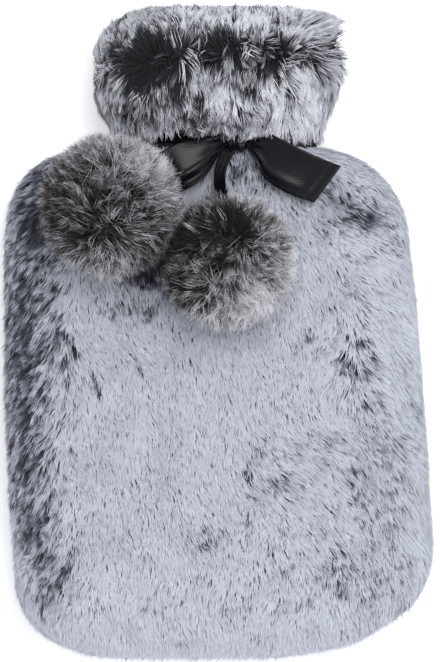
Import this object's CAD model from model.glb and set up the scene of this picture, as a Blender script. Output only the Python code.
import math
from collections import namedtuple

import bpy
import numpy as np
from mathutils import Matrix, Vector
from mathutils.bvhtree import BVHTree
from mathutils.kdtree import KDTree


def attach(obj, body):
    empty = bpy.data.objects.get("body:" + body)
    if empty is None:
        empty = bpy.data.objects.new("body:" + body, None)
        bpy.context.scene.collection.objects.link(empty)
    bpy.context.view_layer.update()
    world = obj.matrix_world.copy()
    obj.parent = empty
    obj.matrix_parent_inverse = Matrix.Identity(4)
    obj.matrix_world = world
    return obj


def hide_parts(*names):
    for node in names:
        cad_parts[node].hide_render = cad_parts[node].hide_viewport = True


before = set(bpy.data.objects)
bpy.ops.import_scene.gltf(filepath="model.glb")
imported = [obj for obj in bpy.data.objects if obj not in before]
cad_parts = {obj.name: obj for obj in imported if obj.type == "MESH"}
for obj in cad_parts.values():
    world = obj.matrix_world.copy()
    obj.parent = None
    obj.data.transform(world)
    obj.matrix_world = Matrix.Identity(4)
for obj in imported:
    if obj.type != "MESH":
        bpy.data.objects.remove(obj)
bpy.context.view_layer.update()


# The bag's backing: two panels of fur cloth, front and back, sewn together round the sides and the bottom.
# Its ground is a charcoal warp knit, with the short dense underfur that stands on it.
SEAM_Z = 0.034  # height of the side seam above the table
PILE_DEPTH = 0.0065  # from the tips of the pile down to the underfur, where the pile parts
DENSE_DEPTH = 0.0034  # the same where it is dense
RIBBON_DEPTH = 0.0016  # the same where the ribbon draws the neck in
UNDERSIDE_DEPTH = 0.0035  # the same where the cover's weight presses its back flat
PRESSED_HEIGHT = 0.016  # how far up from the table that weight tells
ON_TABLE_Z = 0.0015  # below this the cover rests on the table
PARTING_WIDTH = 0.0016  # half the width of a narrow parting
THIN_SPOTS = (  # where the pile parts and its dark roots show: place, reach, and how far
    (-0.114, 0.0, 0.029, 0.125, 0.9),
    (-0.088, -0.02, 0.016, 0.085, 0.3),
    (-0.1, -0.105, 0.016, 0.042, 0.72),
    (-0.098, 0.066, 0.036, 0.03, 0.86),
    (-0.038, 0.038, 0.021, 0.013, 0.85),
    (-0.094, 0.088, 0.016, 0.012, 0.8),
    (0.112, -0.05, 0.01, 0.04, 0.2),
    (-0.106, -0.072, 0.016, 0.02, 0.82),
    (-0.096, -0.13, 0.018, 0.03, 0.6),
    (0.0655, -0.0025, 0.0018, 0.003, 0.6),
    (0.0765, -0.0025, 0.0022, 0.003, 0.85),
    (0.07, -0.0145, 0.0042, 0.006, 0.62),
    (0.0755, -0.02, 0.005, 0.0034, 0.46),
    (0.076, 0.066, 0.019, 0.013, 0.52),
    (0.06, 0.078, 0.012, 0.008, 0.42),
    (0.096, 0.05, 0.014, 0.014, 0.25),
    (0.032, -0.08, 0.022, 0.011, 0.31),
    (0.03, -0.062, 0.032, 0.024, 0.25),
    (0.052, -0.095, 0.06, 0.06, 0.17),
    (-0.01, -0.128, 0.05, 0.036, 0.15),
    (0.078, -0.07, 0.022, 0.044, 0.31),
    (0.062, -0.06, 0.026, 0.018, 0.26),
    (0.074, -0.134, 0.028, 0.028, 0.22),
    (0.01, -0.149, 0.11, 0.026, 0.22),
    (0.054, -0.126, 0.024, 0.016, 0.34),
    (0.05, -0.003, 0.014, 0.012, 0.34),
    (0.075, 0.026, 0.026, 0.03, 0.2),
    (0.081, -0.018, 0.008, 0.012, 0.36),
    (-0.047, 0.018, 0.024, 0.014, 0.46),
    (0.02, 0.088, 0.013, 0.013, 0.3),
    (0.01, 0.093, 0.009, 0.008, 0.5),
    (-0.008, -0.109, 0.018, 0.012, 0.35),
    (0.09, -0.092, 0.018, 0.036, 0.24),
    (0.02, 0.01, 0.036, 0.014, 0.08),
)
LONG_PARTINGS = (  # where it parts in a narrow line: from, to, and how far
    ((-0.09, 0.013), (-0.079, -0.009), 0.85),
    ((-0.071, -0.019), (-0.065, -0.031), 0.75),
    ((-0.049, -0.009), (-0.043, -0.02), 0.5),
    ((0.0135, -0.072), (0.016, -0.0765), 0.85),
    ((0.0205, -0.0775), (0.0315, -0.082), 0.5),
    ((0.0345, -0.079), (0.04, -0.088), 0.45),
    ((0.081, -0.003), (0.083, -0.015), 0.75),
)


def smooth_step(value, low, high):
    share = np.clip((value - low) / (high - low), 0.0, 1.0)
    return share * share * (3.0 - 2.0 * share)


def unit(vectors):
    return vectors / np.maximum(np.linalg.norm(vectors, axis=1, keepdims=True), 1e-12)


def read_solid(name):
    """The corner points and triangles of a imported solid, with the corners that lie on each other joined."""
    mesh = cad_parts[name].data
    mesh.calc_loop_triangles()
    points = np.array([corner.co[:] for corner in mesh.vertices])
    points, joined = np.unique(np.round(points, 6), axis=0, return_inverse=True)
    return points, joined.ravel()[np.array([side.vertices[:] for side in mesh.loop_triangles])]


def triangle_normals(points, triangles):
    """Normals of the triangles, as long as twice their areas."""
    a, b, c = (points[triangles[:, k]] for k in range(3))
    return np.cross(b - a, c - a)


def rounded_normals(points, triangles):
    normals = np.zeros_like(points)
    for corners in triangles.T:
        np.add.at(normals, corners, triangle_normals(points, triangles))
    return unit(normals)


def middle_line(low, high):
    """The middle line of a hollow piece, between two places up the cover. It gives the point that a point of
    the piece's wall looks away from."""

    def looks_from(points):
        up = np.clip(points[:, 1], low, high)
        return np.column_stack([np.zeros(len(points)), up, np.full(len(points), SEAM_Z)])

    return looks_from


bag_spine = middle_line(-0.134, 0.07)


def pile_side(points, triangles, spine):
    """Which triangles lie on the side of the wall that carries the pile."""
    middles = points[triangles].mean(axis=1)
    outwards = (unit(middles - spine(middles)) * unit(triangle_normals(points, triangles))).sum(axis=1)
    return outwards > 0.12


def new_object(name, data):
    made = bpy.data.objects.new(name, data)
    bpy.context.scene.collection.objects.link(made)
    return made


def skin(name, points, faces):
    mesh = bpy.data.meshes.new(name)
    mesh.from_pydata(points, [], faces)
    mesh.shade_smooth()
    return new_object(name, mesh)


def cut_backing(name, node, spine, depth):
    """A panel's backing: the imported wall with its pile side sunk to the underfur."""
    points, triangles = read_solid(node)
    outer = triangles[pile_side(points, triangles, spine)]
    normals = rounded_normals(points, outer)
    carries = np.zeros(len(points))
    carries[np.unique(outer)] = 1.0
    sunk = points - normals * (depth(points) * carries)[:, None]
    return skin(name, sunk.tolist(), triangles.tolist())


def waves(points, size, seed):
    """Smooth noise over places, about from -1 to 1, with swells as long as size."""
    chance = np.random.default_rng(seed)
    total = np.zeros(len(points))
    for _ in range(7):
        way = chance.normal(size=3)
        way *= chance.uniform(0.6, 1.5) / np.linalg.norm(way)
        total += np.sin(points @ way * (2.0 * math.pi / size) + chance.uniform(0.0, 2.0 * math.pi))
    return total / 2.6


def spot_shares(points, spots):
    """For each spot, how much it tells at each place, from 0 to 1, and its amount."""
    across, up, _ = points.T
    return [
        (np.exp(-(((across - x) / reach_x) ** 2) - ((up - y) / reach_y) ** 2), amount)
        for x, y, reach_x, reach_y, amount in spots
    ]


def bag_parting(points):
    """How far the bag's pile is parted at each place: 0 where it is dense, and 1 where its roots are bare."""
    parted = 0.03 + 0.05 * waves(points, 0.03, 8)
    ragged = 1.0 + 0.22 * waves(points, 0.008, 9)
    for share, bare in spot_shares(points, THIN_SPOTS):
        parted = np.maximum(parted, share * bare * ragged)
    for start, end, bare in LONG_PARTINGS:
        along = np.subtract(end, start)
        length = np.linalg.norm(along)
        offset = points[:, :2] - start
        share = np.clip(offset @ along / length**2, 0.0, 1.0)
        gap = np.linalg.norm(offset - share[:, None] * along, axis=1)
        parted = np.maximum(parted, bare * np.exp(-((gap / PARTING_WIDTH) ** 2)))
    return np.clip(parted, 0.0, 1.0)


def pressed_flat(points):
    return 1.0 - smooth_step(points[:, 2], 0.0, PRESSED_HEIGHT)


def near_ribbon(points):
    return smooth_step(points[:, 1], 0.08, 0.104)


def bag_depth(points):
    full = DENSE_DEPTH + (PILE_DEPTH - DENSE_DEPTH) * smooth_step(bag_parting(points), 0.16, 0.5)
    full += (RIBBON_DEPTH - full) * near_ribbon(points)
    return full + (np.minimum(UNDERSIDE_DEPTH, full) - full) * pressed_flat(points)


def new_finish(name, roughness, specular=0.5):
    finish = bpy.data.materials.new(name)
    finish.use_nodes = True
    surface = finish.node_tree.nodes["Principled BSDF"]
    surface.inputs["Roughness"].default_value = roughness
    surface.inputs["Specular IOR Level"].default_value = specular
    return finish, finish.node_tree, surface


def add_node(tree, kind, **values):
    node = tree.nodes.new(kind)
    for socket, value in values.items():
        node.inputs[socket].default_value = value
    return node


def colour_ramp(tree, stops):
    """Blends through the stops, each a place from 0 to 1 and the colour there."""
    ramp = tree.nodes.new("ShaderNodeValToRGB")
    while len(ramp.color_ramp.elements) < len(stops):
        ramp.color_ramp.elements.new(0.5)
    for element, (at, colour) in zip(ramp.color_ramp.elements, stops):
        element.position = at
        element.color = (*colour, 1.0)
    return ramp


def wire(tree, *links):
    """Links a finish's nodes. Each link is a node and its output, and the node and input that it goes to."""
    for source, output, target, socket in links:
        tree.links.new(source.outputs[output], target.inputs[socket])


def knit_finish(name, dark, pale, dense):
    """Warp knit under woolly underfur: fine rows, and cloudy light and dark fibres, paler where the pile is
    dense."""
    finish, tree, surface = new_finish(name, roughness=0.95, specular=0.15)
    place = tree.nodes.new("ShaderNodeTexCoord")
    clouds = add_node(tree, "ShaderNodeTexNoise", Scale=420.0, Detail=5.0)
    tones = colour_ramp(tree, ((0.35, dark), (0.75, pale)))
    rows = add_node(tree, "ShaderNodeTexWave", Scale=260.0, Distortion=2.0)
    rows.bands_direction = "Y"
    relief = add_node(tree, "ShaderNodeBump", Strength=0.6, Distance=0.0006)
    where_dense = tree.nodes.new("ShaderNodeAttribute")
    where_dense.attribute_name = "density"
    underfur = tree.nodes.new("ShaderNodeMix")
    underfur.data_type = "RGBA"
    underfur.inputs["B"].default_value = (*dense, 1.0)
    wire(
        tree,
        (place, "Object", clouds, "Vector"),
        (place, "Object", rows, "Vector"),
        (clouds, "Fac", tones, "Fac"),
        (where_dense, "Fac", underfur, "Factor"),
        (tones, "Color", underfur, "A"),
        (underfur, "Result", surface, "Base Color"),
        (rows, "Fac", relief, "Height"),
        (relief, "Normal", surface, "Normal"),
    )
    return finish


def dress(piece, finish, node=None):
    """Gives a piece its finish and its slot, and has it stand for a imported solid, if there is one."""
    piece.data.materials.append(finish)
    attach(piece, "root")
    if node:
        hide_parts(node)


charcoal_knit = knit_finish(
    "charcoal_backing_knit", dark=(0.012, 0.012, 0.015), pale=(0.055, 0.055, 0.064), dense=(0.5, 0.51, 0.56)
)
front_backing = cut_backing("front_backing", "front_panel", bag_spine, bag_depth)
back_backing = cut_backing("back_backing", "back_panel", bag_spine, bag_depth)
for backing, node in ((front_backing, "front_panel"), (back_backing, "back_panel")):
    spots = np.array([corner.co[:] for corner in backing.data.vertices])
    dense = 0.75 * (1.0 - smooth_step(bag_parting(spots), 0.16, 0.45))
    backing.data.attributes.new("density", "FLOAT", "POINT").data.foreach_set("value", dense)
    dress(backing, charcoal_knit, node)


# The bag's pile: frosted fur fibres knitted into the backing, charcoal at the root and silver at the tip.
# It lies down the cover, leans out over the sides, and gathers into small pointed tufts.
STROKES = (  # how it was combed: place, reach, and degrees from straight down, to the right above zero
    (-0.106, 0.02, 0.02, 0.06, -36),
    (-0.108, -0.06, 0.018, 0.05, -32),
    (-0.098, -0.12, 0.018, 0.03, -26),
    (-0.1, 0.07, 0.03, 0.024, -52),
    (-0.07, -0.01, 0.016, 0.05, 22),
    (-0.066, -0.08, 0.02, 0.05, 16),
    (-0.03, 0.0, 0.026, 0.06, 17),
    (-0.03, -0.08, 0.03, 0.05, 10),
    (-0.04, -0.15, 0.04, 0.02, -4),
    (0.005, 0.02, 0.024, 0.04, 5),
    (0.01, -0.05, 0.03, 0.04, 8),
    (0.0, 0.08, 0.014, 0.02, -3),
    (0.033, -0.074, 0.026, 0.018, 62),
    (0.05, 0.04, 0.018, 0.04, 14),
    (0.05, 0.085, 0.016, 0.016, 42),
    (0.082, 0.062, 0.022, 0.018, 60),
    (0.095, 0.03, 0.018, 0.024, 40),
    (0.064, -0.012, 0.008, 0.014, -42),
    (0.084, -0.012, 0.008, 0.014, 44),
    (0.108, -0.02, 0.016, 0.04, 36),
    (0.112, -0.08, 0.018, 0.04, 32),
    (0.09, -0.13, 0.026, 0.026, 16),
    (0.03, -0.14, 0.04, 0.024, 2),
)
BAG_SHADES = (  # where its tips are darker: place, reach, and by how much
    (0.021, 0.085, 0.017, 0.014, -0.2),
    (0.01, -0.112, 0.045, 0.022, -0.06),
    (0.04, -0.14, 0.07, 0.04, -0.05),
)


def level(across, up):
    return np.column_stack([across, up, np.zeros(len(across))])


def along_surface(ways, normals):
    return unit(ways - normals * (ways * normals).sum(axis=1, keepdims=True))


def bag_lie(points, normals):
    """Which way the bag's pile lies at each place, along the surface."""
    angle, weight = np.zeros(len(points)), np.full(len(points), 0.03)
    for share, turn in spot_shares(points, STROKES):
        angle += share * turn
        weight += share
    angle = np.radians(angle / weight + 11.0 * waves(points, 0.045, 3) + 9.0 * waves(points, 0.012, 4))
    under = smooth_step(-normals[:, 2], 0.0, 0.6)
    angle *= 1.0 - 0.8 * under
    return along_surface(level(np.sin(angle), -np.cos(angle)), normals)


BLADE_TAPER = (0.85, 1.0, 0.72)  # a blade's width at each row up to its tip, as a share of its full width


class Ground:
    """A piece's pile side, where its fibres are rooted, and the whole outside that they lie along."""

    def __init__(self, nodes, spine):
        points, triangles = [], []
        for node in nodes:
            own_points, own_triangles = read_solid(node)
            own_triangles = own_triangles[pile_side(own_points, own_triangles, spine)]
            triangles.append(own_triangles + sum(len(p) for p in points))
            points.append(own_points)
        points, triangles = np.concatenate(points), np.concatenate(triangles)
        self.tree = BVHTree.FromPolygons(points.tolist(), triangles.tolist())
        self.points, self.triangles = points, triangles
        self.normals = rounded_normals(points, triangles)

    def scatter(self, count, chance, wanted):
        """Places for fibres, spread evenly where wanted is 1 and more thinly where it is less."""
        corners = self.points[self.triangles]
        sizes = np.linalg.norm(triangle_normals(self.points, self.triangles), axis=1)
        sizes *= wanted(corners.mean(axis=1))
        ends = np.cumsum(sizes)
        at = (np.arange(count) + chance.random(count)) / count * ends[-1]
        chosen = np.minimum(np.searchsorted(ends, at), len(ends) - 1)
        u, v = chance.random(count), chance.random(count)
        over = u + v > 1.0
        u[over], v[over] = 1.0 - u[over], 1.0 - v[over]
        shares = np.stack([1.0 - u - v, u, v], axis=1)[:, :, None]
        places = (corners[chosen] * shares).sum(axis=1)
        normals = unit((self.normals[self.triangles[chosen]] * shares).sum(axis=1))
        return places, normals

    def outside(self, points):
        """The nearest places on the outside, and its normals there."""
        found = [self.tree.find_nearest(point) for point in points.tolist()]
        return np.array([f[0][:] for f in found]), np.array([f[1][:] for f in found])


def gather(fibres, places, spacing, pull, chance):
    """Draws the fibres together into tufts about as far apart as spacing, more so towards their tips."""
    lows = np.floor(places / spacing).astype(np.int64)
    order = chance.permutation(len(places))
    _, first = np.unique(lows[order], axis=0, return_index=True)
    leaders = order[first]
    tree = KDTree(len(leaders))
    for k, place in enumerate(places[leaders].tolist()):
        tree.insert(place, k)
    tree.balance()
    nearest = leaders[np.array([tree.find(place)[1] for place in places.tolist()])]
    last = fibres.shape[1] - 1
    for k in range(1, last + 1):
        fibres[:, k] += (fibres[nearest, k] - fibres[:, k]) * (pull * (k / last) ** 0.8)[:, None]
    return nearest


def weave_blades(name, fibres, facings, widths, tones, chance):
    """One mesh of fine tapering blades, one to a fibre or a few that cling together. Its map holds a fibre's
    tone across and the way from root to tip upwards."""
    count, rows = fibres.shape[:2]
    turn = chance.normal(0.0, 0.16, count)[:, None]
    each = 2 * rows - 1
    points = np.empty((count, each, 3))
    for k in range(rows - 1):
        way = unit(fibres[:, k + 1] - fibres[:, max(k - 1, 0)])
        side = unit(np.cross(way, facings))
        side = side * np.cos(turn) + np.cross(way, side) * np.sin(turn)
        half = side * (widths * BLADE_TAPER[k] / 2)[:, None]
        points[:, 2 * k] = fibres[:, k] - half
        points[:, 2 * k + 1] = fibres[:, k] + half
    points[:, -1] = fibres[:, -1]
    corners = [c for k in range(rows - 2) for c in (2 * k, 2 * k + 1, 2 * k + 3, 2 * k + 2)]
    corners = np.array(corners + [each - 3, each - 2, each - 1])
    loops = (corners[None, :] + each * np.arange(count)[:, None]).ravel()
    mesh = bpy.data.meshes.new(name)
    mesh.vertices.add(count * each)
    mesh.vertices.foreach_set("co", points.ravel())
    mesh.loops.add(len(loops))
    mesh.loops.foreach_set("vertex_index", loops)
    mesh.polygons.add(count * (rows - 1))
    starts = (4 * np.arange(rows - 1)[None, :] + len(corners) * np.arange(count)[:, None]).ravel()
    mesh.polygons.foreach_set("loop_start", starts)
    up = np.append(np.repeat(np.arange(rows - 1), 2), rows - 1) / (rows - 1)
    across = np.append(np.tile([-0.012, 0.012], rows - 1), 0.0)
    places = np.empty((count, each, 2))
    places[:, :, 0] = np.clip(tones, 0.02, 0.98)[:, None] + across
    places[:, :, 1] = 0.004 + 0.992 * up
    layer = mesh.uv_layers.new(name="OFBake")
    layer.uv.foreach_set("vector", places.reshape(-1, 2)[loops].ravel())
    mesh.update(calc_edges=True)
    mesh.shade_smooth()
    return new_object(name, mesh)


# How a pile grows: mostly functions of places or of how far it parts there
Growth = namedtuple(
    "Growth", "lie parting depth length width tone flecks tufting rows lift trim", defaults=(None, None)
)


def grow_pile(name, ground, count, seed, wanted, growth):
    """Roots fibres in the backing, lays them along the outside, gathers them into tufts and trims them."""
    chance = np.random.default_rng(seed)
    rows, width = growth.rows, growth.width
    places, normals = ground.scatter(count, chance, wanted)
    parted = growth.parting(places)
    ways = growth.lie(places, normals)
    stray = chance.normal(0.0, 0.16, count)
    stray += 0.45 * (chance.random(count) < 0.1) * chance.normal(size=count)
    ways = unit(ways + np.cross(normals, ways) * (stray * (1.0 + 0.6 * parted))[:, None])
    deep = growth.depth(places)
    long = growth.length(places, parted) * chance.uniform(0.8, 1.12, count)
    fibres = np.empty((count, rows, 3))
    fibres[:, 0] = places - normals * deep[:, None]
    spots, spot_normals = places, normals
    for k in range(1, rows):
        ways = along_surface(ways, spot_normals)
        spots, spot_normals = ground.outside(spots + ways * (long / (rows - 1))[:, None])
        fibres[:, k] = spots - spot_normals * (deep * (1.0 - k / (rows - 1)) ** 2)[:, None]
    proud = chance.normal(0.0, 0.0007, count) + 0.0026 * (chance.random(count) < 0.12)
    proud *= smooth_step(spots[:, 2], 0.0, 0.012)
    fibres[:, -1] += spot_normals * proud[:, None] + (growth.lift(places) if growth.lift else 0.0)
    spacing, fine, coarse = growth.tufting(parted)
    tuft = gather(fibres, places, spacing, fine, chance)
    gather(fibres, places, 3.0 * spacing, coarse, chance)
    for k in range(1, rows):
        fibres[:, k] += chance.normal(0.0, 0.00034 * k / (rows - 1), (count, 3))
    if growth.trim:
        fibres = growth.trim(fibres)
    fibres[:, :, 2] = np.maximum(fibres[:, :, 2], 0.0003 + 0.0002 * chance.random(count)[:, None])
    tones = growth.tone(places, spots, parted) + chance.normal(0.0, 0.055, count)
    by_tuft, darker, drop, paler = growth.flecks(parted)
    tones -= (by_tuft * abs(chance.normal(size=count)))[tuft] + (drop * (chance.random(count) < darker))[tuft]
    tones += 0.26 * (chance.random(count) < paler)[tuft]
    widths = width * chance.uniform(0.75, 1.25, count)
    return weave_blades(name, fibres, unit(normals + spot_normals), widths, tones, chance)


def frosted_finish(name, stops):
    """Frosted fur: each fibre runs from a dark root to a pale tip, and a paler one turns pale lower down. The
    stops are pairs of how frosted it is and its colour."""
    finish, tree, surface = new_finish(name, roughness=0.7, specular=0.22)
    surface.inputs["Sheen Weight"].default_value = 0.1
    surface.inputs["Sheen Roughness"].default_value = 0.4
    place = tree.nodes.new("ShaderNodeUVMap")
    place.uv_map = "OFBake"
    parts = tree.nodes.new("ShaderNodeSeparateXYZ")
    by_tone = tree.nodes.new("ShaderNodeMath")
    by_tone.operation = "MULTIPLY_ADD"
    by_tone.inputs[1].default_value = 1.25
    by_tone.inputs[2].default_value = -0.55
    frosting = tree.nodes.new("ShaderNodeMath")
    frosting.operation = "MULTIPLY_ADD"
    frosting.inputs[1].default_value = 0.8
    colours = colour_ramp(tree, stops)
    wire(
        tree,
        (place, "UV", parts, "Vector"),
        (parts, "X", by_tone, 0),
        (parts, "Y", frosting, 0),
        (by_tone, "Value", frosting, 2),
        (frosting, "Value", colours, "Fac"),
        (colours, "Color", surface, "Base Color"),
    )
    return finish


silver_fur = frosted_finish(
    "silver_frosted_fur",
    (
        (0.0, (0.018, 0.0198, 0.026)),
        (0.35, (0.047, 0.052, 0.069)),
        (0.54, (0.14, 0.15, 0.19)),
        (0.68, (0.362, 0.376, 0.436)),
        (0.82, (0.504, 0.52, 0.586)),
        (1.0, (0.585, 0.603, 0.668)),
    ),
)


def bag_length(points, parted):
    aslant = smooth_step(abs(points[:, 0]), 0.075, 0.11)
    base = 0.0072 + 0.002 * aslant + 0.003 * parted
    return base + 0.003 * pressed_flat(points) - 0.001 * near_ribbon(points)


def shade(tones, tips, at, patches):
    """Makes the front's fibres paler or darker by patches."""
    for share, paler in spot_shares(at, patches):
        tones += paler * share * (tips[:, 2] > SEAM_Z)
    return tones


def bag_tone(points, tips, parted):
    to_right = smooth_step(points[:, 0], 0.03, 0.11)
    corner = 0.014 * smooth_step(-tips[:, 1], 0.1, 0.15)
    left_rim = smooth_step(corner - tips[:, 0], 0.109, 0.119)
    right_rim = smooth_step(tips[:, 0], 0.106, 0.114)
    bare = parted * smooth_step(parted, -0.12, 0.46)
    tones = 0.98 - 0.75 * bare - 0.18 * to_right + 0.24 * left_rim + 0.12 * right_rim
    tones += 0.06 * waves(points, 0.022, 15)
    return shade(tones, tips, tips, BAG_SHADES)


def bag_flecks(parted):
    """How much the tufts differ in tone, the share that shows dark roots, how dark those are, and the share
    that stays pale where the pile parts."""
    dark_roots = 0.01 + 0.08 * parted + 0.8 * parted * (1.0 - parted)
    return 0.045 + 0.055 * parted, dark_roots, 0.16 + 0.2 * parted, 0.07 * parted


def bag_tufting(parted):
    """How far apart the tufts are, and how far fibres are drawn into them and they into larger ones."""
    return 0.0023, np.clip(0.28 + 0.6 * parted, 0.0, 0.86), np.clip(-0.05 + 0.5 * parted, 0.0, 0.5)


BAG_TOP_Y = 0.1036  # where its pile ends, under the ribbon
PILE_SPLIT_Y = -0.045  # where the front's pile is divided in two pieces


def wanted_upper(points):
    _, y, z = points.T
    return (z > SEAM_Z) * (y > PILE_SPLIT_Y) * (y < BAG_TOP_Y)


def wanted_lower(points):
    _, y, z = points.T
    return (z > SEAM_Z) * (y <= PILE_SPLIT_Y) * 1.0


def wanted_back(points):
    _, y, z = points.T
    return (z < SEAM_Z) * (y < BAG_TOP_Y) * np.where(z < ON_TABLE_Z, 0.35, 1.0)


bag_ground = Ground(("front_panel", "back_panel"), bag_spine)
bag_growth = Growth(
    bag_lie, bag_parting, bag_depth, bag_length, 0.00052, bag_tone, bag_flecks, bag_tufting, rows=3
)
for name, wanted, count, seed in (
    ("front_pile_upper", wanted_upper, 64000, 21),
    ("front_pile_lower", wanted_lower, 64000, 22),
    ("back_pile", wanted_back, 40000, 23),
):
    pile = grow_pile(name, bag_ground, count, seed, wanted, bag_growth)
    dress(pile, silver_fur)


# The collar: a tube of the same fur cloth round the bottle's neck, its top edge turned in over the rim. Its
# pile is combed apart along a wavy line, up over the rim above it and down over the ribbon below it.
PARTING_LINE = (  # across, and up the cover
    (-0.075, 0.146), (-0.056, 0.147), (-0.042, 0.149), (-0.028, 0.149), (-0.012, 0.154), (0.004, 0.16),
    (0.018, 0.155), (0.032, 0.15), (0.045, 0.152), (0.062, 0.158), (0.075, 0.16),
)
BARE_SPOTS = (  # where it parts right down to its roots: place, reach, and how far
    (-0.038, 0.148, 0.0195, 0.0125, 1.0),
    (0.0, 0.156, 0.0125, 0.007, 0.84),
    (0.031, 0.153, 0.0125, 0.0065, 0.8),
    (-0.034, 0.129, 0.026, 0.007, 0.32),
    (-0.012, 0.149, 0.008, 0.006, 0.34),
    (0.017, 0.152, 0.006, 0.005, 0.5),
    (0.052, 0.154, 0.009, 0.005, 0.5),
    (-0.024, 0.138, 0.007, 0.008, 0.6),
    (-0.012, 0.126, 0.0035, 0.009, 0.85),
    (-0.056, 0.166, 0.01, 0.006, 0.45),
    (-0.022, 0.166, 0.016, 0.005, 0.32),
    (-0.06, 0.138, 0.006, 0.01, 0.5),
    (0.06, 0.164, 0.01, 0.006, 0.34),
    (0.064, 0.15, 0.006, 0.008, 0.28),
    (0.04, 0.132, 0.006, 0.006, 0.4),
)
COLLAR_PATCHES = (  # where its tips are paler or darker: place, reach, and by how much
    (-0.002, 0.113, 0.026, 0.007, -0.22),
    (-0.036, 0.122, 0.024, 0.009, -0.12),
    (-0.0105, 0.1235, 0.0035, 0.0085, -0.45),
    (-0.02, 0.131, 0.0035, 0.006, -0.35),
    (0.026, 0.119, 0.003, 0.006, -0.3),
    (-0.052, 0.12, 0.004, 0.006, -0.3),
    (0.012, 0.134, 0.004, 0.005, -0.25),
    (0.042, 0.125, 0.018, 0.017, 0.28),
    (0.007, 0.1275, 0.007, 0.007, 0.26),
    (0.022, 0.16, 0.007, 0.006, 0.1),
    (-0.068, 0.15, 0.006, 0.012, 0.26),
    (0.066, 0.145, 0.006, 0.012, 0.14),
    (0.065, 0.168, 0.008, 0.008, -0.14),
    (0.006, 0.172, 0.01, 0.006, 0.24),
    (0.036, 0.172, 0.01, 0.006, 0.16),
    (0.022, 0.128, 0.006, 0.008, -0.22),
    (-0.016, 0.158, 0.009, 0.006, 0.09),
    (0.052, 0.114, 0.008, 0.006, 0.15),
)
BOW_SPAN = (-0.032, 0.029)  # where the fringe hangs out over the bow, across
BOW_TOP = (  # up the cover, and how high the bow's upper side is there
    (0.104, 0.0785), (0.109, 0.0778), (0.118, 0.0745), (0.126, 0.0712), (0.134, 0.068), (0.138, 0.0),
)
CURLY_SPOT = (0.028, 0.156, 0.024, 0.012, 1)  # where its pile is short and curly
STANDING_TUFT = (0.059, 0.166, 0.012, 0.012, 1)  # the tuft at the right of the rim
SKIRT_TOP_Y = 0.1172  # where the collar's cloth turns in under its fringe

collar_spine = middle_line(0.1, 0.165)


def collar_depth(points):
    y = points[:, 1]
    full = 0.007 - 0.004 * smooth_step(y, 0.172, 0.179)
    full -= 0.0045 * (1.0 - smooth_step(y, 0.11, 0.118))
    return full + (np.minimum(0.003, full) - full) * pressed_flat(points)


def from_parting(points):
    line = np.interp(points[:, 0], *zip(*PARTING_LINE))
    return points[:, 1] - line - 0.003 * waves(points, 0.018, 31)


def bareness(points):
    return np.max([share * bare for share, bare in spot_shares(points, BARE_SPOTS)], axis=0)


def collar_lie(points, normals):
    x, y, z = points.T
    above = from_parting(points)
    above += 0.006 * (1.0 - bareness(points)) * waves(points, 0.0045, 40) * np.exp(-((above / 0.014) ** 2))
    front = smooth_step(z, SEAM_Z - 0.01, SEAM_Z + 0.01)
    up = 2.0 * smooth_step(above, -0.0018, 0.0018) - 1.0
    lean = 0.3 * waves(points, 0.03, 32) + 0.34 * waves(points, 0.01, 33)
    lean += 0.28 * np.exp(-((above / 0.005) ** 2)) * waves(points, 0.008, 38)
    curly = smooth_step(x, -0.004, 0.016) * smooth_step(above, -0.012, 0.002)
    lean += 0.4 * curly * waves(points, 0.0085, 39)
    lie = level(lean + x * (3.0 + 5.0 * front * (up > 0)), up)
    low = 1.0 - smooth_step(y, 0.112, 0.13)
    lie[:, 0] -= 14.0 * x * low
    for (spot_x, spot_y, *_), (share, bare) in zip(BARE_SPOTS, spot_shares(points, BARE_SPOTS)):
        away = unit(level(x - spot_x, y - spot_y) + 1e-6)
        lie += away * (0.5 * bare * share)[:, None]
    inwards = smooth_step(y, 0.166, 0.178)[:, None]
    to_middle = np.column_stack([-x / 0.045, np.zeros(len(x)), -(z - SEAM_Z) / 0.02])
    lie += inwards * unit(to_middle) * 1.2
    return along_surface(lie, normals)


def collar_parting(points):
    parted = 0.26 + 0.12 * waves(points, 0.02, 34)
    parted += 0.1 * np.exp(-((from_parting(points) / 0.006) ** 2))
    ragged = 1.0 + 0.3 * waves(points, 0.009, 37)
    return np.clip(np.maximum(parted, bareness(points) * ragged), 0.0, 1.0)


def collar_length(points, parted):
    at_rim = smooth_step(points[:, 1], 0.165, 0.178)
    low = 1.0 - smooth_step(points[:, 1], 0.116, 0.134)
    ((curls, _),) = spot_shares(points, [CURLY_SPOT])
    return 0.015 - 0.005 * at_rim + 0.002 * parted + 0.004 * low - 0.0045 * curls


def collar_flecks(parted):
    return 0.11 + 0.03 * parted, 0.13 + 0.09 * parted, 0.32 + 0.14 * parted, 0.09 - 0.02 * parted


def collar_tufting(parted):
    return 0.0021, np.clip(0.66 + 0.22 * parted, 0.0, 0.86), np.clip(0.22 + 0.2 * parted, 0.0, 0.5)


def collar_lift(points):
    """How the tuft at the right of the rim stands out."""
    ((share, _),) = spot_shares(points, [STANDING_TUFT])
    share *= points[:, 2] > SEAM_Z - 0.01
    return share[:, None] * np.array([0.0125, 0.0005, 0.002])


def collar_tone(points, tips, parted):
    tones = 0.61 - 0.34 * smooth_step(parted, 0.25, 0.95) + 0.09 * waves(points, 0.014, 35)
    tones -= 0.26 * np.exp(-((from_parting(points) / 0.0016) ** 2)) * bareness(points)
    return shade(tones, tips, 0.35 * points + 0.65 * tips, COLLAR_PATCHES)


def wanted_collar(points):
    _, y, z = points.T
    return (y > 0.117) * np.where(z > SEAM_Z, 1.0, 0.45) * np.where(z < ON_TABLE_Z, 0.5, 1.0)


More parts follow.
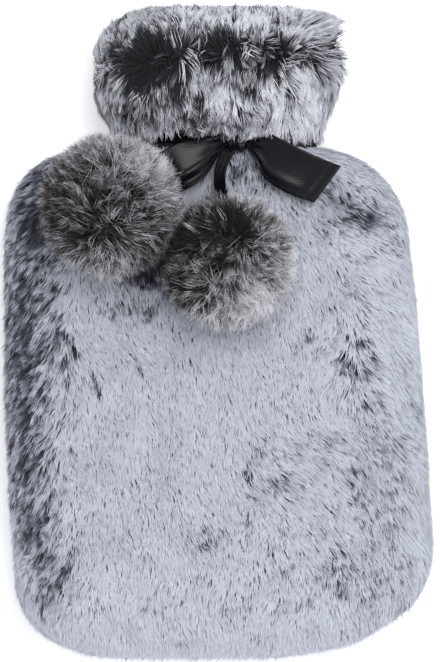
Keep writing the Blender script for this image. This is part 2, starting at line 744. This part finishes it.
def above_bow(x, z):
    """How far a place is in the stretch where the bow lies under the fringe."""
    inside = smooth_step(x, BOW_SPAN[0] - 0.009, BOW_SPAN[0] + 0.005)
    return inside * (1.0 - smooth_step(x, BOW_SPAN[1] - 0.003, BOW_SPAN[1] + 0.009)) * (z > SEAM_Z)


def fringe_end(points):
    """How far down the collar's fringe may hang: over the ribbon, and a little over the bow's upper edge."""
    x, _, z = points.T
    over_knot = np.exp(-(((x - 0.01) / 0.007) ** 2))
    end = 0.103 + above_bow(x, z) * (0.0044 - 0.0026 * over_knot)
    return end + 0.0018 * waves(points, 0.005, 36)


def ring_round_neck(left, right, half_z):
    turns = np.linspace(0.0, 2.0 * math.pi, 160, endpoint=False)
    across, up = np.cos(turns), np.sin(turns)
    middle, half = (right - left) / 2, (right + left) / 2
    x = middle + half * np.sign(across) * abs(across) ** 0.8
    return x, SEAM_Z + half_z * np.sign(up) * abs(up) ** 0.8, turns


class CollarGround(Ground):
    """The collar's pile side, with a skirt below its edge for the fringe that hangs over the ribbon."""

    def __init__(self):
        super().__init__(("collar",), collar_spine)
        self.normals[:, 1] *= smooth_step(self.points[:, 1], 0.112, 0.126)
        self.normals = unit(self.normals)
        skirt = []
        for y, left, right, half_z in (
            (SKIRT_TOP_Y, 0.0624, 0.06, 0.0314),
            (0.11, 0.0602, 0.0578, 0.0294),
            (0.099, 0.0594, 0.057, 0.0288),
        ):
            x, z, _ = ring_round_neck(left, right, half_z)
            skirt += [*zip(x, np.full(len(x), y), z)]
        count = len(skirt) // 3
        quads = [(k, (k + 1) % count, count + (k + 1) % count, count + k) for k in range(count)]
        quads += [tuple(count + corner for corner in quad) for quad in quads]
        sides = np.array([side for a, b, c, d in quads for side in ((a, b, c), (a, c, d))])
        points = np.concatenate([self.points, np.array(skirt)])
        above = self.points[self.triangles][:, :, 1].max(axis=1) > SKIRT_TOP_Y
        triangles = np.concatenate([self.triangles[above], sides + len(self.points)])
        self.tree = BVHTree.FromPolygons(points.tolist(), triangles.tolist())


def trim_fringe(fibres):
    """Shortens fibres that would hang past the fringe's end, and rests them on the bow where they meet it."""
    end = fringe_end(fibres[:, 3])
    fall = fibres[:, 0, 1] - fibres[:, 3, 1]
    share = np.where(fibres[:, 3, 1] < end, (fibres[:, 0, 1] - end) / np.maximum(fall, 1e-6), 1.0)
    fibres = fibres[:, :1] + (fibres - fibres[:, :1]) * np.clip(share, 0.15, 1.0)[:, None, None]
    for k in range(1, fibres.shape[1]):
        x, y, z = fibres[:, k].T
        bow_top = np.interp(y, *zip(*BOW_TOP)) + (z - 0.063) * 0.3
        fibres[:, k, 2] += above_bow(x, z) * np.maximum(bow_top - z, 0.0)
    return fibres


collar_backing = cut_backing("collar_backing", "collar", collar_spine, collar_depth)
dress(collar_backing, charcoal_knit, "collar")
parted_fur = frosted_finish(
    "parted_frosted_fur",
    (
        (0.0, (0.007, 0.007, 0.009)),
        (0.38, (0.018, 0.018, 0.022)),
        (0.54, (0.13, 0.134, 0.15)),
        (0.68, (0.42, 0.43, 0.468)),
        (0.84, (0.6, 0.61, 0.658)),
        (1.0, (0.7, 0.71, 0.76)),
    ),
)
collar_growth = Growth(
    collar_lie, collar_parting, collar_depth, collar_length, 0.00044, collar_tone, collar_flecks,
    collar_tufting, rows=4, lift=collar_lift, trim=trim_fringe,
)
collar_pile = grow_pile("collar_pile", CollarGround(), 37000, 41, wanted_collar, collar_growth)
dress(collar_pile, parted_fur)


# The neck ribbon: black satin ribbon drawn round the seam between bag and collar, which gathers it into three
# soft lengthwise folds. It is held by the bow.
BAND_Y = 0.108
BAND_WIDTH = 0.0086
RIBBON_WIDTH = 0.025
CLOTH = 0.0004  # how thick the ribbon is
NECK_LEFT, NECK_RIGHT, NECK_HALF_Z = 0.057, 0.055, 0.0265  # how far the neck reaches


def join_rings(name, rings, closed):
    """A skin over rings of equal count, each joined to the next, and the last to the first if closed. Its map
    runs across the ribbon and along it."""
    rings = np.asarray(rings)
    rows, columns = rings.shape[:2]
    faces, places = [], []
    for i in range(rows if closed else rows - 1):
        after = (i + 1) % rows
        for j in range(columns):
            beside = (j + 1) % columns
            near_ring, far_ring = i * columns, after * columns
            faces.append((near_ring + j, near_ring + beside, far_ring + beside, far_ring + j))
            low, high = i / rows, (i + 1) / rows
            near, far = j / columns, (j + 1) / columns
            places += [(near, low), (far, low), (far, high), (near, high)]
    if not closed:
        for end in (0, (rows - 1) * columns):
            for j in range(columns // 2 - 1):
                faces.append((end + j, end + j + 1, end + columns - 2 - j, end + columns - 1 - j))
                places += [(0.0, 0.0), (0.01, 0.0), (0.01, 0.01), (0.0, 0.01)]
    piece = skin(name, rings.reshape(-1, 3).tolist(), faces)
    piece.data.uv_layers.new(name="OFBake").uv.foreach_set("vector", np.array(places).ravel())
    return piece


def satin_finish():
    """Black satin: fine close ribs across a smooth, slightly blue surface with a long soft sheen."""
    finish, tree, surface = new_finish("black_satin_weave", roughness=0.25, specular=0.17)
    place = tree.nodes.new("ShaderNodeTexCoord")
    slubs = add_node(tree, "ShaderNodeMapping", Scale=(0.25, 1.0, 1.0))
    weft = add_node(tree, "ShaderNodeTexNoise", Scale=900.0, Detail=3.0)
    tones = colour_ramp(tree, ((0.3, (0.002, 0.002, 0.003)), (0.8, (0.006, 0.006, 0.009))))
    relief = add_node(tree, "ShaderNodeBump", Strength=0.25, Distance=0.0002)
    wire(
        tree,
        (place, "Object", slubs, "Vector"),
        (slubs, "Vector", weft, "Vector"),
        (weft, "Fac", tones, "Fac"),
        (tones, "Color", surface, "Base Color"),
        (weft, "Fac", relief, "Height"),
        (relief, "Normal", surface, "Normal"),
    )
    return finish


black_satin = satin_finish()
outer, inner = [], []
for v in np.linspace(-1.0, 1.0, 15):
    x, z, turns = ring_round_neck(NECK_LEFT, NECK_RIGHT, NECK_HALF_Z)
    fold = 0.00035 * math.cos(3.0 * math.pi * v) + 0.00015 * np.sin(turns * 9.0 + 3.0 * v)
    rim = 0.0012 + fold * (1.0 - abs(v) ** 6)
    way = unit(level(x / 0.056, (z - SEAM_Z) / NECK_HALF_Z))
    for group, out in ((outer, rim), (inner, rim - CLOTH)):
        y = np.full(len(x), BAND_Y + v * BAND_WIDTH / 2)
        group.append(np.column_stack([x + way[:, 0] * out, y, z + way[:, 1] * out]))
neck_band = join_rings("neck_band", outer + inner[::-1], closed=True)
dress(neck_band, black_satin, "neck_ribbon")


# The bow: the same satin ribbon tied in front. It leaves the knot in pleats, opens to its full width, turns
# over at the end of each loop and comes back underneath.
KNOT = Vector((0.01, 0.1045, 0.0664))
KNOT_SIZE = Vector((0.0122, 0.0112, 0.0072))
GATHERED_WIDTH = 0.0086
LAYER_GAP = 0.0011  # half the space between a loop's layers at the knot


def ribbon_section(centre, across, normal, width, pleat, crease, count=24):
    top, bottom = [], []
    for k in range(count + 1):
        v = 2.0 * k / count - 1.0
        fold = pleat * math.cos(math.pi * 3.0 * v) + crease(v)
        point = centre + across * (v * width / 2) + normal * fold
        top.append(point + normal * CLOTH / 2)
        bottom.append(point - normal * CLOTH / 2)
    return [tuple(point) for point in top + bottom[::-1]]


# A loop has turned and spread in full at swing_by and spread_by, as shares of its length, and rounding crowds
# its steps towards its end
Loop = namedtuple(
    "Loop", "name length heading sag opening rise end_turn swing_by spread_by rounding tilt creases"
)
LOOP_STEPS = 64


def make_loop(loop):
    heading = math.radians(loop.heading)
    ahead = Vector((math.cos(heading), math.sin(heading), 0.0))
    side = math.copysign(1.0, ahead.x)
    start = KNOT + Vector((side * (KNOT_SIZE.x / 2 - 0.0004), 0.0, KNOT_SIZE.z / 5))
    reach = loop.length - KNOT_SIZE.x / 2
    root_turn = -heading if ahead.x > 0.0 else -math.pi - heading
    end_turn = math.radians(loop.end_turn)
    turns = [2.0 * k / LOOP_STEPS - 1.0 for k in range(LOOP_STEPS + 1)]
    outs = [1.0 - abs(turn) ** loop.rounding for turn in turns]
    centres = []
    for turn, out in zip(turns, outs):
        layer = -math.copysign(1.0, turn) if turn else 0.0
        apart = loop.opening / 2 * math.sin(math.pi * abs(turn)) ** 0.8
        apart += LAYER_GAP * float(smooth_step(abs(turn), 0.0, 0.3))
        lift = loop.rise * math.sin(math.pi * 0.62 * out)
        aside = Vector((ahead.y, -ahead.x, 0.0)) * (side * loop.sag * math.sin(math.pi * out))
        centres.append(start + ahead * (reach * out) + aside + Vector((0.0, 0.0, layer * apart + lift)))
    rings = []
    for k, out in enumerate(outs):
        spread = float(smooth_step(out, 0.0, loop.spread_by))
        swing = root_turn + (end_turn - root_turn) * float(smooth_step(out, 0.0, loop.swing_by))
        across = Matrix.Rotation(heading + math.pi / 2 + swing, 3, "Z") @ Vector((1.0, 0.0, 0.0))
        across = (across + Vector((0.0, 0.0, loop.tilt * spread))).normalized()
        tangent = centres[min(k + 1, LOOP_STEPS)] - centres[max(k - 1, 0)]
        normal = across.cross(tangent).normalized()
        width = GATHERED_WIDTH + (RIBBON_WIDTH - GATHERED_WIDTH) * spread
        pleat = 0.0006 * (1.0 - float(smooth_step(out, 0.0, 0.32)))
        rings.append(ribbon_section(centres[k], across, normal, width, pleat, lambda v: loop.creases(v, out)))
    return join_rings(loop.name, rings, closed=False)


def right_creases(v, out):
    opened = float(smooth_step(out, 0.0, 0.36))
    folds = 0.001 * math.sin(2.4 * v + 0.6) - 0.0009 * math.exp(-(((v + 0.55) / 0.18) ** 2))
    return folds * (1.0 - out) * opened


def left_creases(v, out):
    opened = float(smooth_step(out, 0.0, 0.45))
    rolled_edge = 0.002 * math.exp(-(((v - 0.74) / 0.15) ** 2))
    rolled_edge -= 0.0012 * math.exp(-(((v - 0.4) / 0.14) ** 2))
    folds = 0.001 * math.sin(2.8 * v - 0.5) * (1.0 - out)
    return folds * opened + rolled_edge * math.sqrt(1.0 - out) * float(smooth_step(out, 0.0, 0.12))


loop_right = make_loop(
    Loop("loop_right", 0.0558, -28.5, 0.0026, 0.009, 0.002, -8, 1.0, 0.29, 1.6, 0.13, right_creases)
)
loop_left = make_loop(
    Loop("loop_left", 0.043, -151, 0.0, 0.007, 0.003, 4, 0.5, 0.72, 2.0, 0.07, left_creases)
)


def wrap_knot(name, around=24, along=17):
    """The ribbon wrapped once round the middle, its edges turned under."""
    points, faces = [], []
    for k in range(around):
        turn = 2.0 * math.pi * k / around
        after = (k + 1) % around
        for j in range(along):
            v = 2.0 * j / (along - 1) - 1.0
            bulge = (1.0 - abs(v) ** 3.2) ** 0.5
            fold = 1.0 + 0.1 * math.sin(5.0 * v + 1.2 + turn) + 0.05 * math.sin(13.0 * v + 2.0 * turn)
            y = KNOT_SIZE.y / 2 * math.sin(turn) * (0.5 + 0.5 * bulge) * fold
            z = KNOT_SIZE.z / 2 * math.cos(turn) * (0.45 + 0.55 * bulge) * fold
            points.append((KNOT.x + v * KNOT_SIZE.x / 2 * 0.94, KNOT.y + y, KNOT.z + z))
        for j in range(along - 1):
            faces.append((k * along + j, k * along + j + 1, after * along + j + 1, after * along + j))
    faces.append(tuple(k * along for k in range(around)))
    faces.append(tuple(k * along + along - 1 for k in reversed(range(around))))
    return skin(name, points, faces)


knot = wrap_knot("bow_knot_wrap")


def smooth_route(points, steps):
    """Points read evenly from a smooth curve through the given ones."""
    knots = [points[0] * 2 - points[1], *points, points[-1] * 2 - points[-2]]
    route = []
    for k in range(steps + 1):
        at = k / steps * (len(points) - 1)
        i = min(int(at), len(points) - 2)
        t = at - i
        a, b, c, d = knots[i : i + 4]
        route.append(
            (b * 2 + (c - a) * t + (a * 2 - b * 5 + c * 4 - d) * t**2 + (b * 3 - a - c * 3 + d) * t**3) / 2
        )
    return route


def make_tail(name, route, width):
    points = smooth_route([Vector(p) for p in route], 40)
    rings = []
    for k, point in enumerate(points):
        tangent = points[min(k + 1, len(points) - 1)] - points[max(k - 1, 0)]
        across = tangent.cross(Vector((0.0, 0.0, 1.0))).normalized()
        normal = across.cross(tangent).normalized()
        rings.append(ribbon_section(point, across, normal, width, 0.0006, lambda v: 0.0007 * v * v, count=14))
    return join_rings(name, rings, closed=False)


tail_lower = make_tail(
    "tail_to_lower_pompom",
    (
        (0.0078, 0.1035, 0.065),
        (0.0044, 0.0975, 0.0662),
        (0.0012, 0.0903, 0.0668),
        (0.0004, 0.0815, 0.071),
        (0.0026, 0.066, 0.089),
    ),
    0.0064,
)
tail_left = make_tail(
    "tail_to_left_pompom",
    (
        (0.0005, 0.1016, 0.0637),
        (-0.0085, 0.097, 0.064),
        (-0.024, 0.089, 0.0648),
        (-0.035, 0.083, 0.069),
        (-0.042, 0.079, 0.086),
    ),
    0.0066,
)
for piece, node, flat in (
    (loop_right, "bow_loop_right", (RIBBON_WIDTH, 0.1)),
    (loop_left, "bow_loop_left", (RIBBON_WIDTH, 0.075)),
    (knot, "bow_knot", None),
    (tail_lower, "tail_lower", (0.012, 0.04)),
    (tail_left, "tail_left", (0.012, 0.052)),
):
    dress(piece, black_satin, node)


# The pompoms: balls of the same fur cloth gathered round a stuffed middle and sewn to the ribbon's ends.
# Their pile stands out all round, dark at the root with pale tips, and is clipped to a ball.
# The crown is where its pile parts, and a patch is a way in which its tips are paler or darker
Pompom = namedtuple("Pompom", "centre reach crown sweep patches")
POMPOMS = {
    "left": Pompom(
        (-0.0585, 0.0685, 0.1085),
        0.0405,
        (-0.08, -0.53, 0.84),
        0.22,
        (
            ((0.8, 0.5, 0.4), 0.26),
            ((0.1, 0.7, 0.7), 0.1),
            ((0.1, -0.9, 0.3), 0.22),
            ((-0.15, -0.45, 0.85), -0.1),
            ((-0.85, -0.1, 0.5), -0.24),
            ((0.75, -0.6, 0.3), -0.34),
        ),
    ),
    "lower": Pompom(
        (0.005, 0.038, 0.107),
        0.038,
        (0.1, 0.53, 0.84),
        0.24,
        (
            ((-0.9, 0.25, 0.35), -0.48),
            ((0.1, 0.5, 0.85), -0.12),
            ((0.85, 0.2, 0.4), 0.14),
            ((0.8, -0.5, 0.3), 0.16),
            ((0.15, -0.75, 0.6), 0.3),
        ),
    ),
}
CORE_SHARE = 0.56  # the stuffed middle, as a share of the ball
PRESSED_GAP = 0.0006  # from the pile's tips to what they are pressed against


def evenly_round(count, chance):
    """Directions spread evenly round a ball, each a little out of place."""
    k = np.arange(count) + 0.5
    height = 1.0 - 2.0 * k / count
    turn = k * math.pi * (3.0 - math.sqrt(5.0))
    flat = np.sqrt(1.0 - height**2)
    ways = np.column_stack([flat * np.cos(turn), flat * np.sin(turn), height])
    return unit(ways + chance.normal(0.0, 0.6 / math.sqrt(count), (count, 3)))


def clip_to_room(pompom, other, ways):
    """How far a pompom's pile stands out each way: clipped round, and pressed in by the other pompom and the
    bag."""
    apart = np.array(other.centre) - np.array(pompom.centre)
    distance = np.linalg.norm(apart)
    towards = ways @ (apart / distance)
    wall = distance * pompom.reach / (pompom.reach + other.reach) - PRESSED_GAP
    out = np.full(len(ways), pompom.reach)
    out = np.where(towards > 0.05, np.minimum(out, wall / np.maximum(towards, 0.05)), out)
    for k in np.nonzero(ways[:, 2] < 0.1)[0]:
        hit = bag_ground.tree.ray_cast(Vector(pompom.centre), Vector(ways[k]), pompom.reach + 0.002)
        if hit[0] is not None:
            out[k] = min(out[k], max(hit[3] - PRESSED_GAP, 0.006))
    return out


pompom_fur = frosted_finish(
    "charcoal_frosted_fur",
    (
        (0.0, (0.011, 0.008, 0.008)),
        (0.4, (0.024, 0.018, 0.018)),
        (0.56, (0.115, 0.101, 0.104)),
        (0.7, (0.44, 0.425, 0.445)),
        (0.9, (0.74, 0.73, 0.77)),
    ),
)


def stuffed_core(name, pompom, other, seed):
    """The ball of fur cloth drawn round its stuffing, a little lumpy."""
    bpy.ops.mesh.primitive_ico_sphere_add(subdivisions=4, radius=1.0)
    core = bpy.context.object
    core.name = name
    ways = unit(np.array([v.co[:] for v in core.data.vertices]))
    outs = np.minimum(clip_to_room(pompom, other, ways) * 0.92, pompom.reach * CORE_SHARE)
    lumps = 1.0 + 0.04 * waves(ways, 0.7, seed)
    core.data.vertices.foreach_set("co", (pompom.centre + ways * (outs * lumps)[:, None]).ravel())
    core.data.shade_smooth()
    return core


def pompom_pile(name, pompom, other, k):
    """Fibres that stand out all round, swept away from the crown, with a few long wisps."""
    chance = np.random.default_rng(51 + k)
    count = 36000 // 1
    ways = evenly_round(count, chance)
    crown = np.array(pompom.crown) / np.linalg.norm(pompom.crown)
    from_crown = ways @ crown
    swept_by = pompom.sweep * np.exp((from_crown - 1.0) / 0.55)
    swirl = unit(ways - from_crown[:, None] * crown) * swept_by[:, None]
    swirl += chance.normal(0.0, 0.1, (count, 3))
    swirl += 0.21 * np.column_stack([waves(ways, 0.6, 60 + s) for s in (1, 2, 3)])
    wisps = chance.random(count) < 0.03
    curl = unit(chance.normal(size=(count, 3))) * (0.09 + 0.3 * wisps)[:, None]
    outs = clip_to_room(pompom, other, unit(ways + swirl))
    trim = chance.normal(0.995, 0.024, count) - 0.12 * (chance.random(count) < 0.15)
    trim += 0.06 * (chance.random(count) < 0.1) + wisps * chance.uniform(0.02, 0.12, count)
    fibres = np.empty((count, 3, 3))
    low = np.minimum(pompom.reach * (CORE_SHARE - 0.04), outs * 0.85)
    for j, share in enumerate((0.0, 0.58, 1.0)):
        way = unit(ways + swirl * share**1.5 + curl * math.sin(math.pi * share))
        fibres[:, j] = np.array(pompom.centre) + way * (low + (outs * trim - low) * share**0.8)[:, None]
    pull = np.clip(chance.normal(0.78, 0.16, count), 0.1, 0.95) * (1.0 - wisps)
    clump = gather(fibres, ways * pompom.reach, 0.0025, pull, chance)
    gather(fibres, ways * pompom.reach, 0.01, np.full(count, 0.15), chance)
    for j, loose in ((1, 0.0002), (2, 0.0004)):
        fibres[:, j] += chance.normal(0.0, loose, (count, 3))
    tones = 0.39 + 0.06 * waves(ways, 0.6, 63 + k) + chance.normal(0.0, 0.05, count)
    tones += 0.21 * chance.normal(size=count)[clump]
    for towards, paler in pompom.patches:
        side = np.array(towards) / np.linalg.norm(towards)
        tones += paler * np.exp((ways @ side - 1.0) / 0.22)
    facings = unit(np.cross(ways, chance.normal(size=(count, 3))))
    return weave_blades(name, fibres, facings, chance.uniform(0.00022, 0.00038, count), tones, chance)


for k, (name, pompom) in enumerate(POMPOMS.items()):
    (other,) = [ball for ball in POMPOMS.values() if ball is not pompom]
    core = stuffed_core(f"pompom_core_{name}", pompom, other, 56 + k)
    dress(core, charcoal_knit, f"pompom_{name}")
    dress(pompom_pile(f"pompom_pile_{name}", pompom, other, k), pompom_fur)


# The table it lies on, a studio's pale sweep, lit by a large soft light from above its collar and a weaker
# one from the lower right. The camera looks straight down from well above.
TABLE_TONE = (0.93, 0.935, 0.945)
bpy.ops.mesh.primitive_plane_add(size=6.0, location=(0.0, 0.0, -0.0004))
table = bpy.context.object
table.name = "table_top"
table_finish, _, table_surface = new_finish("pale_matt_table", roughness=0.9)
table_surface.inputs["Base Color"].default_value = (*TABLE_TONE, 1.0)
table_surface.inputs["Emission Color"].default_value = (*TABLE_TONE, 1.0)
table_surface.inputs["Emission Strength"].default_value = 0.3
table.data.materials.append(table_finish)


def soft_light(name, place, size, power, tint=(1.0, 1.0, 1.0)):
    light = bpy.data.lights.new(name, "AREA")
    light.shape = "DISK"
    light.size = size
    light.energy = power
    light.color = tint
    lamp = new_object(name, light)
    lamp.location = place
    lamp.rotation_euler = (-Vector(place)).to_track_quat("-Z", "Y").to_euler()


soft_light("key_softbox", (0.22, 0.4, 1.56), 0.78, 11.4)
soft_light("fill_softbox", (0.9, -0.46, 1.25), 0.36, 3.3, (0.96, 0.98, 1.0))
world = bpy.data.worlds.new("pale_room")
bpy.context.scene.world = world
world.use_nodes = True
world.node_tree.nodes["Background"].inputs["Color"].default_value = (0.95, 0.97, 1.0, 1.0)
world.node_tree.nodes["Background"].inputs["Strength"].default_value = 0.95
bpy.context.scene.view_settings.view_transform = "Standard"

PIXEL = 0.000552  # what one of the photograph's pixels spans, at the height of the side seam
PICTURE_HEIGHT = 662  # in such pixels
CAMERA_HEIGHT = 4.0
camera_data = bpy.data.cameras.new("overhead_camera")
camera_data.sensor_width = 36.0
camera_data.lens = camera_data.sensor_width * (CAMERA_HEIGHT - SEAM_Z) / (PICTURE_HEIGHT * PIXEL)
camera_data.clip_start = 0.1
camera_data.clip_end = 20.0
camera = new_object("overhead_camera", camera_data)
camera.location = (PIXEL, PIXEL, CAMERA_HEIGHT)
bpy.context.scene.camera = camera
